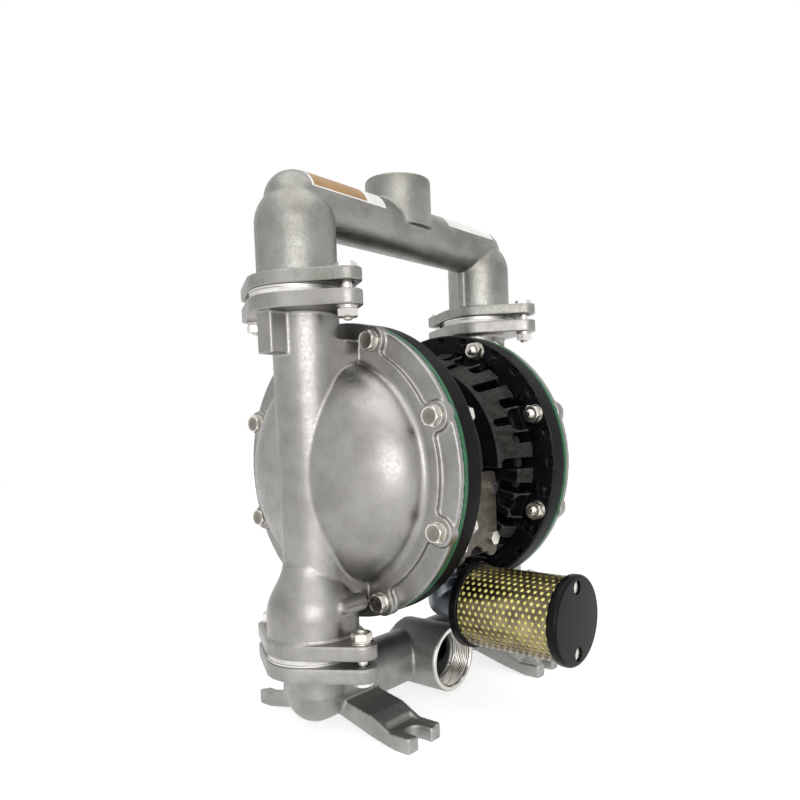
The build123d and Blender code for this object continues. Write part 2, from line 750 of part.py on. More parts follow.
def valve_screw_places():
    high = valve_half_height - 9
    deep = valve_depth / 2 - 9
    return [(valve_centre + y, shaft_height + z) for y in (-deep, deep) for z in (-high, high)]


def valve_cap():
    """Right-hand end cap of the air valve."""
    far = valve_back + valve_depth
    cap = block(valve_half_width, valve_half_width + valve_cap_thickness, valve_back, far,
                shaft_height - valve_half_height, shaft_height + valve_half_height)
    cap = fillet(cap.edges().filter_by(Axis.X), 12)
    cap += along_x(spool_radius + 4, valve_half_width, valve_half_width + valve_cap_thickness + 2, valve_centre)
    for y, z in valve_screw_places():
        cap -= along_x(valve_screw_radius + bolt_clearance, valve_half_width - 1,
                       valve_half_width + valve_cap_thickness + 1, y, z)
    return cap


def valve_screws():
    face = valve_half_width + valve_cap_thickness
    screws = []
    for y, z in valve_screw_places():
        screw = along_x(valve_screw_radius, face - 20, face, y, z)
        screw += along_x(valve_screw_radius * 1.7, face, face + 4, y, z)
        screws += [screw, mirrored(screw)]
    return group(screws)


def valve_spool():
    """Spool with three lands, free to slide between the end caps."""
    half = valve_half_width - spool_stroke - ball_gap
    spool = along_x(spool_radius, -half, half, valve_centre)
    for x in (-half * 0.45, half * 0.45):
        groove = along_x(spool_radius + 1, x - 8, x + 8, valve_centre)
        spool -= groove - along_x(spool_radius * 0.65, x - 8, x + 8, valve_centre)
    return spool


# Exhaust and muffler

def exhaust_elbow():
    """Malleable iron elbow with a bead round each mouth."""
    bend = Pos(muffler_side, -exhaust_leg, muffler_height)
    elbow = bend * Sphere(elbow_body_radius)
    top = muffler_height + elbow_reach
    elbow += along_z(elbow_body_radius, muffler_height, top, muffler_side, -exhaust_leg)
    elbow += along_z(elbow_bead_radius, top - elbow_bead_width, top, muffler_side, -exhaust_leg)
    mouth = -exhaust_leg - elbow_reach
    elbow += along_y(elbow_body_radius, mouth, -exhaust_leg, muffler_side, muffler_height)
    elbow += along_y(elbow_bead_radius, mouth, mouth + elbow_bead_width, muffler_side, muffler_height)
    inside = nipple_radius + running_gap
    elbow -= bend * Sphere(exhaust_bore)
    elbow -= along_z(exhaust_bore, muffler_height, top, muffler_side, -exhaust_leg)
    elbow -= along_y(exhaust_bore, mouth, -exhaust_leg, muffler_side, muffler_height)
    elbow -= along_z(inside, top - 12, top + 1, muffler_side, -exhaust_leg)
    return elbow - along_y(inside, mouth - 1, mouth + 12, muffler_side, muffler_height)


def exhaust_nipples():
    """Two pipe nipples: centre block to elbow, and elbow to muffler."""
    top = muffler_height + elbow_reach
    upper = along_z(nipple_radius, top - 12, front_bottom + 12, muffler_side, -exhaust_leg)
    upper -= along_z(exhaust_bore, top - 13, front_bottom + 13, muffler_side, -exhaust_leg)
    mouth = -exhaust_leg - elbow_reach
    near = -muffler_start - inner_cap_thickness
    lower = along_y(nipple_radius, near, mouth + 12, muffler_side, muffler_height)
    lower -= along_y(exhaust_bore, near - 1, mouth + 13, muffler_side, muffler_height)
    return group([upper, lower])


def muffler_disc(front, thickness, edge):
    disc = along_y(muffler_cap_radius, front, front + thickness, muffler_side, muffler_height)
    rims = disc.edges().filter_by(GeomType.CIRCLE).sort_by(Axis.Y)
    return fillet(rims, edge)


def sleeve_groove(front, back):
    """Ring-shaped seat for the sleeve and the filter in a cap."""
    ring = along_y(sleeve_radius + running_gap, front, back, muffler_side, muffler_height)
    core = sleeve_radius - sleeve_wall - filter_wall - 2 * running_gap
    return ring - along_y(core, front - 1, back + 1, muffler_side, muffler_height)


def muffler_screw_heights():
    return [muffler_height - muffler_screw_offset, muffler_height + muffler_screw_offset]


def muffler_inner_cap():
    front = -muffler_start - inner_cap_thickness
    cap = muffler_disc(front, inner_cap_thickness, 2)
    cap += along_y(boss_radius, -muffler_start - 1, -muffler_start + 6, muffler_side, muffler_height)
    cap -= along_y(nipple_radius + running_gap, front - 1, -muffler_start + 7, muffler_side, muffler_height)
    cap -= sleeve_groove(front - 1, front + sleeve_seat_depth)
    for z in muffler_screw_heights():
        cap -= along_y(muffler_screw_radius + running_gap, front - 1, front + 7, muffler_side, z)
    return cap


def muffler_outer_cap():
    back = -muffler_end + outer_cap_thickness
    cap = muffler_disc(-muffler_end, outer_cap_thickness, 3.5)
    cap -= sleeve_groove(back - sleeve_seat_depth, back + 1)
    for z in muffler_screw_heights():
        cap -= along_y(6.5, -muffler_end - 1, -muffler_end + 6, muffler_side, z)
        cap -= along_y(muffler_screw_radius + running_gap, -muffler_end, back + 1, muffler_side, z)
    return cap


def muffler_tube(outer, wall):
    front = -muffler_end + outer_cap_thickness - sleeve_seat_depth
    back = -muffler_start - inner_cap_thickness + sleeve_seat_depth
    tube = along_y(outer, front, back, muffler_side, muffler_height)
    return tube - along_y(outer - wall, front - 1, back + 1, muffler_side, muffler_height)


def muffler_screws():
    """Long screws through the muffler, with their heads sunk in the outer cap."""
    seat_plane = -muffler_end + 6
    screws = []
    for z in muffler_screw_heights():
        screw = along_y(muffler_screw_radius, seat_plane, -muffler_start - 4, muffler_side, z)
        head = Pos(muffler_side, seat_plane, z) * Rot(90, 0, 0) * hexagon(muffler_screw_radius, 4)
        screws.append(screw + head)
    return group(screws)


# Fastener sets

def cover_bolts():
    """Hex bolts of the right-hand cover, heads outside."""
    head_face = land_face + washer_thickness
    end = air_rim_face - washer_thickness - 2 * cover_bolt_radius * nut_ratio - thread_stand
    bolt = hex_bolt(cover_bolt_radius, head_face - end)
    places = [around_shaft(angle, bolt_circle) for angle in cover_bolt_angles()]
    return group([Pos(head_face, y, z) * Rot(0, 90, 0) * bolt for y, z in places])


def cover_washers():
    washer = flat_washer(cover_bolt_radius, washer_thickness)
    places = [around_shaft(angle, bolt_circle) for angle in cover_bolt_angles()]
    inner = air_rim_face - washer_thickness
    return group([Pos(x, y, z) * Rot(0, 90, 0) * washer for y, z in places for x in (land_face, inner)])


def cover_nuts():
    height = 2 * cover_bolt_radius * nut_ratio
    nut = hex_nut(cover_bolt_radius, height)
    places = [around_shaft(angle, bolt_circle) for angle in cover_bolt_angles()]
    start = air_rim_face - washer_thickness - height
    return group([Pos(start, y, z) * Rot(0, 90, 0) * nut for y, z in places])


def flange_places():
    return [(x, y) for x in (-column_offset, column_offset) for y in (-flange_bolt_spread, flange_bolt_spread)]


def joint_faces(plane_height):
    """Lower and upper outside faces of a flange joint. The manifold is above at the outlet, below at the inlet."""
    if plane_height > shaft_height:
        below, above = cover_flange_thickness, manifold_flange_thickness
    else:
        below, above = cover_flange_thickness, cover_flange_thickness
    return plane_height - half_seat - below, plane_height + half_seat + above


def flange_bolts(plane_height):
    """Hex bolts of the two joints at this height, heads at the manifold's side."""
    low, high = joint_faces(plane_height)
    length = high - low + 2 * flange_bolt_radius * nut_ratio + washer_thickness + thread_stand
    bolt = hex_bolt(flange_bolt_radius, length)
    if plane_height > shaft_height:
        return group([Pos(x, y, high) * bolt for x, y in flange_places()])
    return group([Pos(x, y, low) * Rot(180, 0, 0) * bolt for x, y in flange_places()])


def flange_nuts(plane_height):
    """Nuts and washers of the two joints at this height, at the cover's side."""
    low, high = joint_faces(plane_height)
    height = 2 * flange_bolt_radius * nut_ratio
    nut = hex_nut(flange_bolt_radius, height)
    washer = flat_washer(flange_bolt_radius, washer_thickness)
    stack = [washer, Pos(0, 0, washer_thickness) * nut]
    turn = Rot(180, 0, 0) if plane_height > shaft_height else Rot(0, 0, 0)
    face = low if plane_height > shaft_height else high
    return group([Pos(x, y, face) * turn * piece for x, y in flange_places() for piece in stack])


def both_sides(name, right):
    """Saves a right-hand piece and its left-hand mirror."""
    save(f"right_{name}", right)
    save(f"left_{name}", mirrored(right))


def main():
    os.makedirs("parts", exist_ok=True)
    save("outlet_manifold", outlet_manifold())
    save("inlet_manifold", inlet_manifold())
    both_sides("outer_cover", outer_cover())
    both_sides("air_chamber", air_chamber())
    both_sides("diaphragm", diaphragm())
    both_sides("outlet_seat", seat(outlet_joint))
    both_sides("inlet_seat", seat(inlet_joint))
    both_sides("outlet_ball", check_ball(outlet_joint))
    both_sides("inlet_ball", check_ball(inlet_joint))
    both_sides("inner_washer", inner_washer())
    both_sides("outer_washer", outer_washer())
    both_sides("chamber_screws", chamber_screws())
    both_sides("cover_bolts", cover_bolts())
    both_sides("cover_washers", cover_washers())
    both_sides("cover_nuts", cover_nuts())
    both_sides("valve_cap", valve_cap())
    save("pump_shaft", pump_shaft())
    save("shaft_bushes", shaft_bushes())
    save("shaft_seals", shaft_seals())
    save("pilot_rod", pilot_rod())
    save("centre_block", centre_block())
    save("front_plate", front_plate())
    save("plate_bolts", plate_bolts())
    save("valve_gasket", valve_gasket())
    save("air_valve_body", air_valve_body())
    save("valve_screws", valve_screws())
    save("valve_spool", valve_spool())
    save("exhaust_elbow", exhaust_elbow())
    save("exhaust_nipples", exhaust_nipples())
    save("muffler_inner_cap", muffler_inner_cap())
    save("muffler_outer_cap", muffler_outer_cap())
    save("muffler_sleeve", muffler_tube(sleeve_radius, sleeve_wall))
    save("filter_element", muffler_tube(sleeve_radius - sleeve_wall - running_gap, filter_wall))
    save("muffler_screws", muffler_screws())
    save("outlet_flange_bolts", flange_bolts(outlet_joint))
    save("outlet_flange_nuts", flange_nuts(outlet_joint))
    save("inlet_flange_bolts", flange_bolts(inlet_joint))
    save("inlet_flange_nuts", flange_nuts(inlet_joint))


if __name__ == "__main__":
    main()
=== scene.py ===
# %% [markdown]
# # An air operated double diaphragm pump in cast stainless steel
# Compressed air pushes two rubber diaphragms to and fro on one shaft. Each stroke draws liquid in through the
# lower manifold and drives it out at the top, past ball valves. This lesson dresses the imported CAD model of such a
# pump: the castings get rounded edges and a blasted skin, the bolts get chamfers and threads, the ports get their
# pipe threads, and the exhaust muffler gets its perforated sleeve.

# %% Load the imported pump
from math import cos, pi, radians, sin, tan

import bmesh
import bpy
import numpy as np
from mathutils import Matrix, Vector


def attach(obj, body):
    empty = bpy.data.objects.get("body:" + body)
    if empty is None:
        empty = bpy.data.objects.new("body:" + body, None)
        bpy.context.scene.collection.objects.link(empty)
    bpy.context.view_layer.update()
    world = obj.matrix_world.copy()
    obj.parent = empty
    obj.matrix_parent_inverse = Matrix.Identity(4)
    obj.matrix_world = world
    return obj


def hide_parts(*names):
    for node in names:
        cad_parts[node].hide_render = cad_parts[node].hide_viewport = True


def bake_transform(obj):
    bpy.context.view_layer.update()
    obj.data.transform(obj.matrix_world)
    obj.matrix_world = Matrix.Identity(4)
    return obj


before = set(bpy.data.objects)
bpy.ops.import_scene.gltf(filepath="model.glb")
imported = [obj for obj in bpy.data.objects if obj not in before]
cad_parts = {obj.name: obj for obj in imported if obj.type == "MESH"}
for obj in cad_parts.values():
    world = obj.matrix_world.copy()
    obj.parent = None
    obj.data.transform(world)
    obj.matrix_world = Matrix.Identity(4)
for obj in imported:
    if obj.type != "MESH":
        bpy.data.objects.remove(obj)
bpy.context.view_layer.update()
MM = 0.001
SHAFT = 250.0           # height of the pump shaft, in millimetres
COLUMN = 147.2          # middle of the pump to each fluid column
random = np.random.default_rng(7)


# %% [markdown]
# ## Colours and nodes
# Paint charts and photographs give colours as sRGB hex values, but Blender's shaders add up light, so they need
# linear numbers. One function does that change. A second small function adds a shader node, sets its values and
# links its inputs, so that each material below reads as a short list of what its surface is made of.

# %% Colour and node helpers
def linear(hex_colour):
    """Linear RGBA of an sRGB hex colour: c / 12.92 near black, ((c + 0.055) / 1.055) ^ 2.4 above it."""
    c = np.array([int(hex_colour[i:i + 2], 16) for i in (1, 3, 5)]) / 255
    return (*np.where(c <= 0.04045, c / 12.92, ((c + 0.055) / 1.055) ** 2.4), 1.0)


def per_metre(millimetres):
    """Scale of a texture whose pattern repeats about every so many millimetres."""
    return 1000.0 / millimetres


def add(tree, kind, settings=None, links=None):
    """Adds one node. Settings are properties or input values, links feed inputs, both by name or number."""
    node = tree.nodes.new(kind)
    for key, value in (settings or {}).items():
        if isinstance(key, str) and hasattr(node, key):
            setattr(node, key, value)
        else:
            node.inputs[key].default_value = value
    for key, source in (links or {}).items():
        output = source if isinstance(source, bpy.types.NodeSocket) else source.outputs[0]
        tree.links.new(output, node.inputs[key])
    return node


def ramp(tree, factor, stops):
    """Colour ramp from (position, hex colour) stops."""
    node = add(tree, "ShaderNodeValToRGB", links={"Fac": factor})
    while len(node.color_ramp.elements) < len(stops):
        node.color_ramp.elements.new(0.5)
    for element, (position, colour) in zip(node.color_ramp.elements, stops):
        element.position = position
        element.color = linear(colour)
    return node


def spread(tree, value, low, high, to_low, to_high):
    """Maps a value from one range to another, held at both ends."""
    settings = {"From Min": low, "From Max": high, "To Min": to_low, "To Max": to_high}
    return add(tree, "ShaderNodeMapRange", settings, {"Value": value})


def new_material(name, colour, **sockets):
    """A material with its Principled shader's own sockets set. Returns the material, its tree and its shader."""
    material = bpy.data.materials.new(name)
    material.use_nodes = True
    material.diffuse_color = linear(colour)
    tree = material.node_tree
    shader = tree.nodes["Principled BSDF"]
    shader.inputs["Base Color"].default_value = linear(colour)
    for socket, value in sockets.items():
        shader.inputs[socket.replace("_", " ")].default_value = value
    return material, tree, shader


def noise(tree, size, detail=2.0, roughness=0.5, stretch=(1, 1, 1)):
    """Noise whose lumps are about this many millimetres wide, on Object coordinates."""
    place = add(tree, "ShaderNodeTexCoord").outputs["Object"]
    if stretch != (1, 1, 1):
        place = add(tree, "ShaderNodeMapping", {"Scale": stretch}, {"Vector": place})
    settings = {"Scale": per_metre(size), "Detail": detail, "Roughness": roughness}
    return add(tree, "ShaderNodeTexNoise", settings, {"Vector": place}).outputs["Fac"]


def bump(tree, shader, layers):
    """Stacks bumps from (height, depth in millimetres, strength) layers on the shader's normal."""
    normal = None
    for height, depth, strength in layers:
        links = {"Height": height}
        if normal:
            links["Normal"] = normal
        normal = add(tree, "ShaderNodeBump", {"Distance": depth * MM, "Strength": strength}, links)
    tree.links.new(normal.outputs[0], shader.inputs["Normal"])


print("white in linear light:", linear("#ffffff"))


# %% [markdown]
# ## Cast stainless steel
# The covers and manifolds are investment castings, blasted with glass beads after casting. Blasting leaves a fine
# even grain that spreads highlights, faint clouds where the jet passed and a few scratches from handling. Edges are
# lightened, partly as rubbing and partly as a painted highlight, and creases are darkened as painted shade.
# The shader is a metal with middling roughness. Pointiness finds the edges and the creases.

# %% Cast stainless material
def cast_steel(name, body, shade, edge, roughness, grain):
    """Blasted casting from its middle colour, its darker clouds, its edge colour and the depth of its grain. Edges
    are lightened, partly as rubbing and partly as a painted highlight, and creases get painted shade.
    """
    material, tree, shader = new_material(name, body, Metallic=1.0, Roughness=roughness)
    clouds = noise(tree, 42, detail=6, roughness=0.6)
    tint = ramp(tree, clouds, [(0.34, shade), (0.60, body)])
    specks = spread(tree, noise(tree, 2.4, detail=4), 0.60, 0.74, 0.0, 0.5)
    speckled = add(tree, "ShaderNodeMix", {"data_type": "RGBA", 7: linear(shade)}, {0: specks, 6: tint})
    point = add(tree, "ShaderNodeNewGeometry").outputs["Pointiness"]
    # Painted highlight together with rubbing: sharp edges are lightened towards the edge colour.
    edge_wear_and_highlight = spread(tree, point, 0.53, 0.60, 0.0, 0.6)
    colour = add(tree, "ShaderNodeMix", {"data_type": "RGBA", 7: linear(edge)},
                 {0: edge_wear_and_highlight, 6: speckled.outputs[2]})
    # Painted shade: creases, where the pointiness is low, are darkened towards #45433f.
    crease_shade_mask = spread(tree, point, 0.42, 0.48, 0.4, 0.0)
    crevice = add(tree, "ShaderNodeMix", {"data_type": "RGBA", 7: linear("#45433f")},
                  {0: crease_shade_mask, 6: colour.outputs[2]})
    tree.links.new(crevice.outputs[2], shader.inputs["Base Color"])
    polish = spread(tree, noise(tree, 3.2, detail=5), 0.3, 0.7, roughness - 0.07, roughness + 0.08)
    tree.links.new(polish.outputs[0], shader.inputs["Roughness"])
    scratches = spread(tree, noise(tree, 9, detail=1, stretch=(1, 0.9, 14)), 0.70, 0.74, 0.0, 1.0)
    bump(tree, shader, [(noise(tree, 1.3, detail=3), 0.08, 0.6), (noise(tree, 3.4, detail=4), grain, 0.5),
                        (scratches, 0.05, 0.2)])
    return material


stainless_cover = cast_steel("cast_stainless_blasted", "#9a9895", "#858380", "#cecbc6", 0.38, 0.16)
stainless_top = cast_steel("cast_stainless_weathered", "#95948f", "#7a7973", "#c8c5bf", 0.40, 0.45)
# Painted light: the inlet manifold's copy of the cast steel has lighter colours than the covers' copy, to make up
# for the shade under the pump.
stainless_base = cast_steel("cast_stainless_dark", "#a3a3a0", "#8a8a87", "#cbcac6", 0.50, 0.26)
print("castings:", stainless_cover.name, stainless_top.name, stainless_base.name)


# %% [markdown]
# ## Turned and rolled stainless
# Bolts, nuts, washers and the shaft are machined or cold formed stainless bar, smoother and brighter than the
# castings. A fine grain and a little variation from piece to piece keep them from looking moulded.

# %% Machined stainless material
def bright_steel(name, colour, roughness, dark="#6f6b66"):
    """Machined steel with a fine grain, painted shade in its inside corners and painted highlights on its sharp
    edges.
    """
    material, tree, shader = new_material(name, colour, Metallic=1.0, Roughness=roughness)
    # Painted shade and painted highlight: low pointiness fades to the dark colour, high pointiness to #d8d5ce.
    point = add(tree, "ShaderNodeNewGeometry").outputs["Pointiness"]
    tint = ramp(tree, spread(tree, point, 0.46, 0.54, 0.0, 1.0), [(0.0, dark), (0.45, colour), (1.0, "#d8d5ce")])
    tree.links.new(tint.outputs[0], shader.inputs["Base Color"])
    smear = spread(tree, noise(tree, 3, detail=3), 0.3, 0.7, roughness - 0.06, roughness + 0.08)
    tree.links.new(smear.outputs[0], shader.inputs["Roughness"])
    bump(tree, shader, [(noise(tree, 0.7, detail=2), 0.02, 0.4)])
    return material


bolt_steel = bright_steel("turned_stainless", "#88847d", 0.27)
machined_rim = bright_steel("machined_stainless_bore", "#b7b3ac", 0.30)
plain_steel = bright_steel("bright_mild_steel", "#9b9a98", 0.34)
print("fasteners:", bolt_steel.name)


# %% [markdown]
# ## Black castings
# The air chambers and the centre block never touch the liquid, so they are aluminium castings with a black coat.
# The coat is satin and slightly pebbled. On the turned outer land of each chamber it has been rubbed to grey. That
# land is a cone round the shaft, so the distance from the shaft tells where it is. The rib edges and other sharp
# edges are lightened, partly as rubbing and partly as a painted highlight.

# %% Black coated casting material
CONE = (14, 60, 110.2, 124.2)   # just under the turned land: from and to along the shaft, and the radius at each
LAND_END = 60.6                 # where the land stops, before the rim


def black_casting(name, worn_land):
    """Black coat on aluminium. With worn_land the turned cone round the shaft is rubbed grey."""
    material, tree, shader = new_material(name, "#0d0c0f", Metallic=0.0, Roughness=0.46,
                                           Specular_IOR_Level=0.07)
    point = add(tree, "ShaderNodeNewGeometry").outputs["Pointiness"]
    # Painted highlight together with rubbing: sharp edges are lightened towards #5c5b5d.
    edge = spread(tree, point, 0.52, 0.60, 0.0, 0.5)
    base = ramp(tree, noise(tree, 18, detail=4), [(0.35, "#070708"), (0.65, "#100f12")])
    colour = base.outputs[0]
    if worn_land:
        place = add(tree, "ShaderNodeTexCoord").outputs["Object"]
        split = add(tree, "ShaderNodeSeparateXYZ", links={0: place})
        height = add(tree, "ShaderNodeMath", {"operation": "SUBTRACT", 1: SHAFT * MM}, {0: split.outputs["Z"]})
        flat = add(tree, "ShaderNodeCombineXYZ", links={"X": split.outputs["Y"], "Y": height})
        radius = add(tree, "ShaderNodeVectorMath", {"operation": "LENGTH"}, {0: flat}).outputs["Value"]
        reach = add(tree, "ShaderNodeMath", {"operation": "ABSOLUTE"}, {0: split.outputs["X"]})
        cone = spread(tree, reach, *(value * MM for value in CONE))
        outside = add(tree, "ShaderNodeMath", {"operation": "SUBTRACT"}, {0: radius, 1: cone})
        land = spread(tree, outside, -0.4 * MM, 0.4 * MM, 0.0, 1.0)
        before_rim = spread(tree, reach, LAND_END * MM, (LAND_END + 1) * MM, 1.0, 0.0)
        only = add(tree, "ShaderNodeMath", {"operation": "MULTIPLY"}, {0: land, 1: before_rim})
        patchy = spread(tree, noise(tree, 5, detail=5, stretch=(0.5, 1, 1)), 0.35, 0.6, 0.35, 0.9)
        amount = add(tree, "ShaderNodeMath", {"operation": "MULTIPLY"}, {0: only, 1: patchy})
        colour = add(tree, "ShaderNodeMix", {"data_type": "RGBA", 7: linear("#33322f")},
                     {0: amount, 6: colour}).outputs[2]
    final = add(tree, "ShaderNodeMix", {"data_type": "RGBA", 7: linear("#5c5b5d")}, {0: edge, 6: colour})
    tree.links.new(final.outputs[2], shader.inputs["Base Color"])
    bump(tree, shader, [(noise(tree, 1.1, detail=2), 0.05, 0.5), (noise(tree, 7, detail=3), 0.2, 0.3)])
    return material


chamber_black = black_casting("black_coated_aluminium", True)
block_black = black_casting("black_coated_block", False)
print("black castings:", chamber_black.name)


# %% [markdown]
# ## Rubber, fluoropolymer, felt and bronze
# The diaphragm edge is green rubber, the seats and balls are white sintered fluoropolymer, the muffler's filter is
# a pale yellow felt, and the shaft bushes are bronze. None is a mirror: each has a soft broad sheen and a
# texture of its own size, from rubber's fine bloom to the felt's loose fibres.

# %% Soft and plastic materials
def plain(name, colour, other, roughness, lump, depth, metallic=0.0):
    """Two close colours clouded together, with one bump of a given lump size and depth in millimetres."""
    material, tree, shader = new_material(name, colour, Metallic=metallic, Roughness=roughness)
    tint = ramp(tree, noise(tree, lump * 6, detail=4), [(0.35, other), (0.65, colour)])
    tree.links.new(tint.outputs[0], shader.inputs["Base Color"])
    bump(tree, shader, [(noise(tree, lump, detail=3), depth, 0.5)])
    return material


green_rubber = plain("green_diaphragm_rubber", "#196039", "#124c2f", 0.48, 1.5, 0.06)
black_rubber = plain("black_nitrile_rubber", "#1a1a1a", "#101010", 0.6, 1.2, 0.05)
white_ptfe = plain("white_fluoropolymer", "#d9d8d3", "#c4c2bb", 0.38, 2.5, 0.04)
felt = plain("yellow_filter_felt", "#efec9a", "#e0da7c", 0.85, 0.9, 0.35)
label_white = plain("white_vinyl_label", "#d4d3d0", "#c8c6c2", 0.35, 3.0, 0.02)
label_tan = plain("tan_vinyl_label", "#93703f", "#876536", 0.38, 3.0, 0.02)
bronze = plain("sintered_bronze", "#a98850", "#8d6f3e", 0.42, 1.0, 0.05, 1.0)
spool_aluminium = plain("anodised_aluminium", "#a9abad", "#989a9c", 0.34, 1.0, 0.02, 1.0)
plate_steel = plain("brown_etched_steel", "#6b665d", "#57534b", 0.46, 1.2, 0.05, 0.6)
galvanised = plain("hot_dip_galvanised_iron", "#8f969c", "#6a7177", 0.44, 2.6, 0.3, 1.0)
print("plain finishes:", len(bpy.data.materials))


# %% [markdown]
# ## Muffler paint and sleeve steel
# The muffler's end caps are steel with a smooth black enamel, so a thin clear gloss lies over a dark colour.
# The sleeve between them is punched steel sheet with a dark, oily passivated coat that shifts towards gold.

# %% Muffler materials
cap_enamel, tree, shader = new_material("black_enamel", "#0b0c0d", Roughness=0.30, Specular_IOR_Level=0.08,
                                        Coat_Weight=0.04, Coat_Roughness=0.12)
bump(tree, shader, [(noise(tree, 4, detail=2), 0.05, 0.25), (noise(tree, 0.6, detail=2), 0.01, 0.3)])
sleeve_steel, tree, shader = new_material("passivated_sheet", "#7d735c", Metallic=1.0, Roughness=0.3)
tint = ramp(tree, noise(tree, 16, detail=4), [(0.32, "#5f564a"), (0.5, "#857a60"), (0.68, "#9f9270")])
tree.links.new(tint.outputs[0], shader.inputs["Base Color"])
bump(tree, shader, [(noise(tree, 1.2, detail=2), 0.03, 0.4)])
print("muffler:", cap_enamel.name, sleeve_steel.name)


# %% [markdown]
# ## From CAD triangles to castings
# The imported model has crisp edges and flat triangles, but a casting has no sharp corner: molten steel rounds every
# one. A voxel remesh rebuilds the skin as even little quads, and a few smoothing passes melt the corners by about a
# millimetre, inside ones too, just as foundry fillets do. Then the flat parts give up some of their triangles.
# Turned pieces only need their points merged and their smooth faces shaded as one.

# %% Casting and machining helpers
def merged_copy(node, name):
    """Copy of a CAD node whose triangles share their points."""
    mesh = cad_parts[node].data.copy()
    mesh.materials.clear()
    work = bmesh.new()
    work.from_mesh(mesh)
    bmesh.ops.remove_doubles(work, verts=work.verts, dist=1e-6)
    work.to_mesh(mesh)
    work.free()
    if "custom_normal" in mesh.attributes:
        mesh.attributes.remove(mesh.attributes["custom_normal"])
    piece = bpy.data.objects.new(name, mesh)
    bpy.context.scene.collection.objects.link(piece)
    return piece


def settle(piece):
    """Applies the piece's modifiers to its mesh."""
    graph = bpy.context.evaluated_depsgraph_get()
    mesh = bpy.data.meshes.new_from_object(piece.evaluated_get(graph))
    piece.modifiers.clear()
    piece.data = mesh


def dress(piece, material, body, slot, *nodes):
    """Gives a piece its material and its CAD body and hides the nodes that it stands for. The slot is not used."""
    piece.data.materials.clear()
    piece.data.materials.append(material)
    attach(piece, body)
    if nodes:
        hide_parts(*nodes)
    return piece


def shade(mesh, angle=35):
    """Shades round faces as one and keeps the edges that turn by more than this angle."""
    mesh.shade_smooth()
    mesh.set_sharp_from_angle(angle=radians(angle))


def casting(node, voxel, passes, keep, material, slot):
    """Foundry skin: the node remeshed with voxels of this many millimetres, smoothed, and thinned to the share of
    its triangles that is kept."""
    piece = merged_copy(node, node + "_casting")
    skin = piece.modifiers.new("skin", "REMESH")
    skin.mode = "VOXEL"
    skin.voxel_size = voxel * MM
    skin.use_smooth_shade = True
    melt = piece.modifiers.new("melt", "SMOOTH")
    melt.factor = 0.5
    melt.iterations = passes
    if keep < 1:
        thin = piece.modifiers.new("thin", "DECIMATE")
        thin.ratio = keep
    settle(piece)
    dress(piece, material, "housing", slot, node)
    print(piece.name, "triangles:", sum(len(face.vertices) - 2 for face in piece.data.polygons))
    return piece


def turned(node, material, body, slot, angle=35):
    """Machined piece: the node's own shape with its round faces shaded smooth."""
    piece = merged_copy(node, node + "_turned")
    shade(piece.data, angle)
    return dress(piece, material, body, slot, node)


castings = [
    casting("outlet_manifold", 1.4, 4, 0.7, stainless_top, "cast_stainless"),
    casting("inlet_manifold", 1.4, 4, 0.6, stainless_base, "cast_stainless_dark"),
    casting("centre_block", 1.5, 3, 0.6, block_black, "black_casting"),
    casting("exhaust_elbow", 1.0, 5, 1.0, galvanised, "galvanised"),
    casting("air_valve_body", 1.5, 4, 1.0, block_black, "black_casting"),
]
for side in ("left", "right"):
    castings.append(casting(f"{side}_outer_cover", 1.3, 3, 0.45, stainless_cover, "cast_stainless"))
    castings.append(casting(f"{side}_air_chamber", 1.5, 2, 0.4, chamber_black, "black_casting"))
print("castings:", len(castings))


# %% [markdown]
# ## Surfaces from numpy
# The pieces that follow are surfaces over a grid of two parameters, worked out as whole arrays. A lathe carries a
# profile round an axis. Its corners are rounded first, because even a machined edge catches a thin line of light.

# %% Grid and lathe helpers
def grid_faces(rows, columns, wrap_rows=False, wrap_columns=False):
    """Quads between neighbours of a rows by columns grid, closed round either way."""
    i = np.arange(rows if wrap_rows else rows - 1)[:, None]
    j = np.arange(columns if wrap_columns else columns - 1)[None, :]
    a, b = i % rows, (i + 1) % rows
    c, d = j % columns, (j + 1) % columns
    quads = np.stack([a * columns + c, a * columns + d, b * columns + d, b * columns + c], axis=-1)
    return quads.reshape(-1, 4)


def build(name, points, faces):
    """Object from points in millimetres and faces. Doubles are merged and the faces are turned outwards."""
    mesh = bpy.data.meshes.new(name)
    mesh.from_pydata((np.asarray(points).reshape(-1, 3) * MM).tolist(), [], [list(f) for f in faces])
    work = bmesh.new()
    work.from_mesh(mesh)
    bmesh.ops.remove_doubles(work, verts=work.verts, dist=2e-6)
    bmesh.ops.dissolve_degenerate(work, edges=work.edges, dist=1e-6)
    bmesh.ops.recalc_face_normals(work, faces=work.faces)
    work.to_mesh(mesh)
    work.free()
    shade(mesh, 38)
    piece = bpy.data.objects.new(name, mesh)
    bpy.context.scene.collection.objects.link(piece)
    return piece


def soften(corners, radius, steps=4):
    """Rounds the corners of a closed outline. Each corner c becomes the curve (1-t)^2 a + 2t(1-t) c + t^2 b."""
    c = np.asarray(corners, float)
    before, after = np.roll(c, 1, axis=0) - c, np.roll(c, -1, axis=0) - c
    reach = np.broadcast_to(np.asarray(radius, float), len(c))[:, None]
    room = np.minimum(np.linalg.norm(before, axis=1), np.linalg.norm(after, axis=1))[:, None] * 0.48
    reach = np.minimum(reach, room)
    a = c + before / np.linalg.norm(before, axis=1)[:, None] * reach
    b = c + after / np.linalg.norm(after, axis=1)[:, None] * reach
    t = np.linspace(0, 1, steps)[None, :, None]
    curve = (1 - t) ** 2 * a[:, None] + 2 * t * (1 - t) * c[:, None] + t ** 2 * b[:, None]
    return curve.reshape(-1, 2)


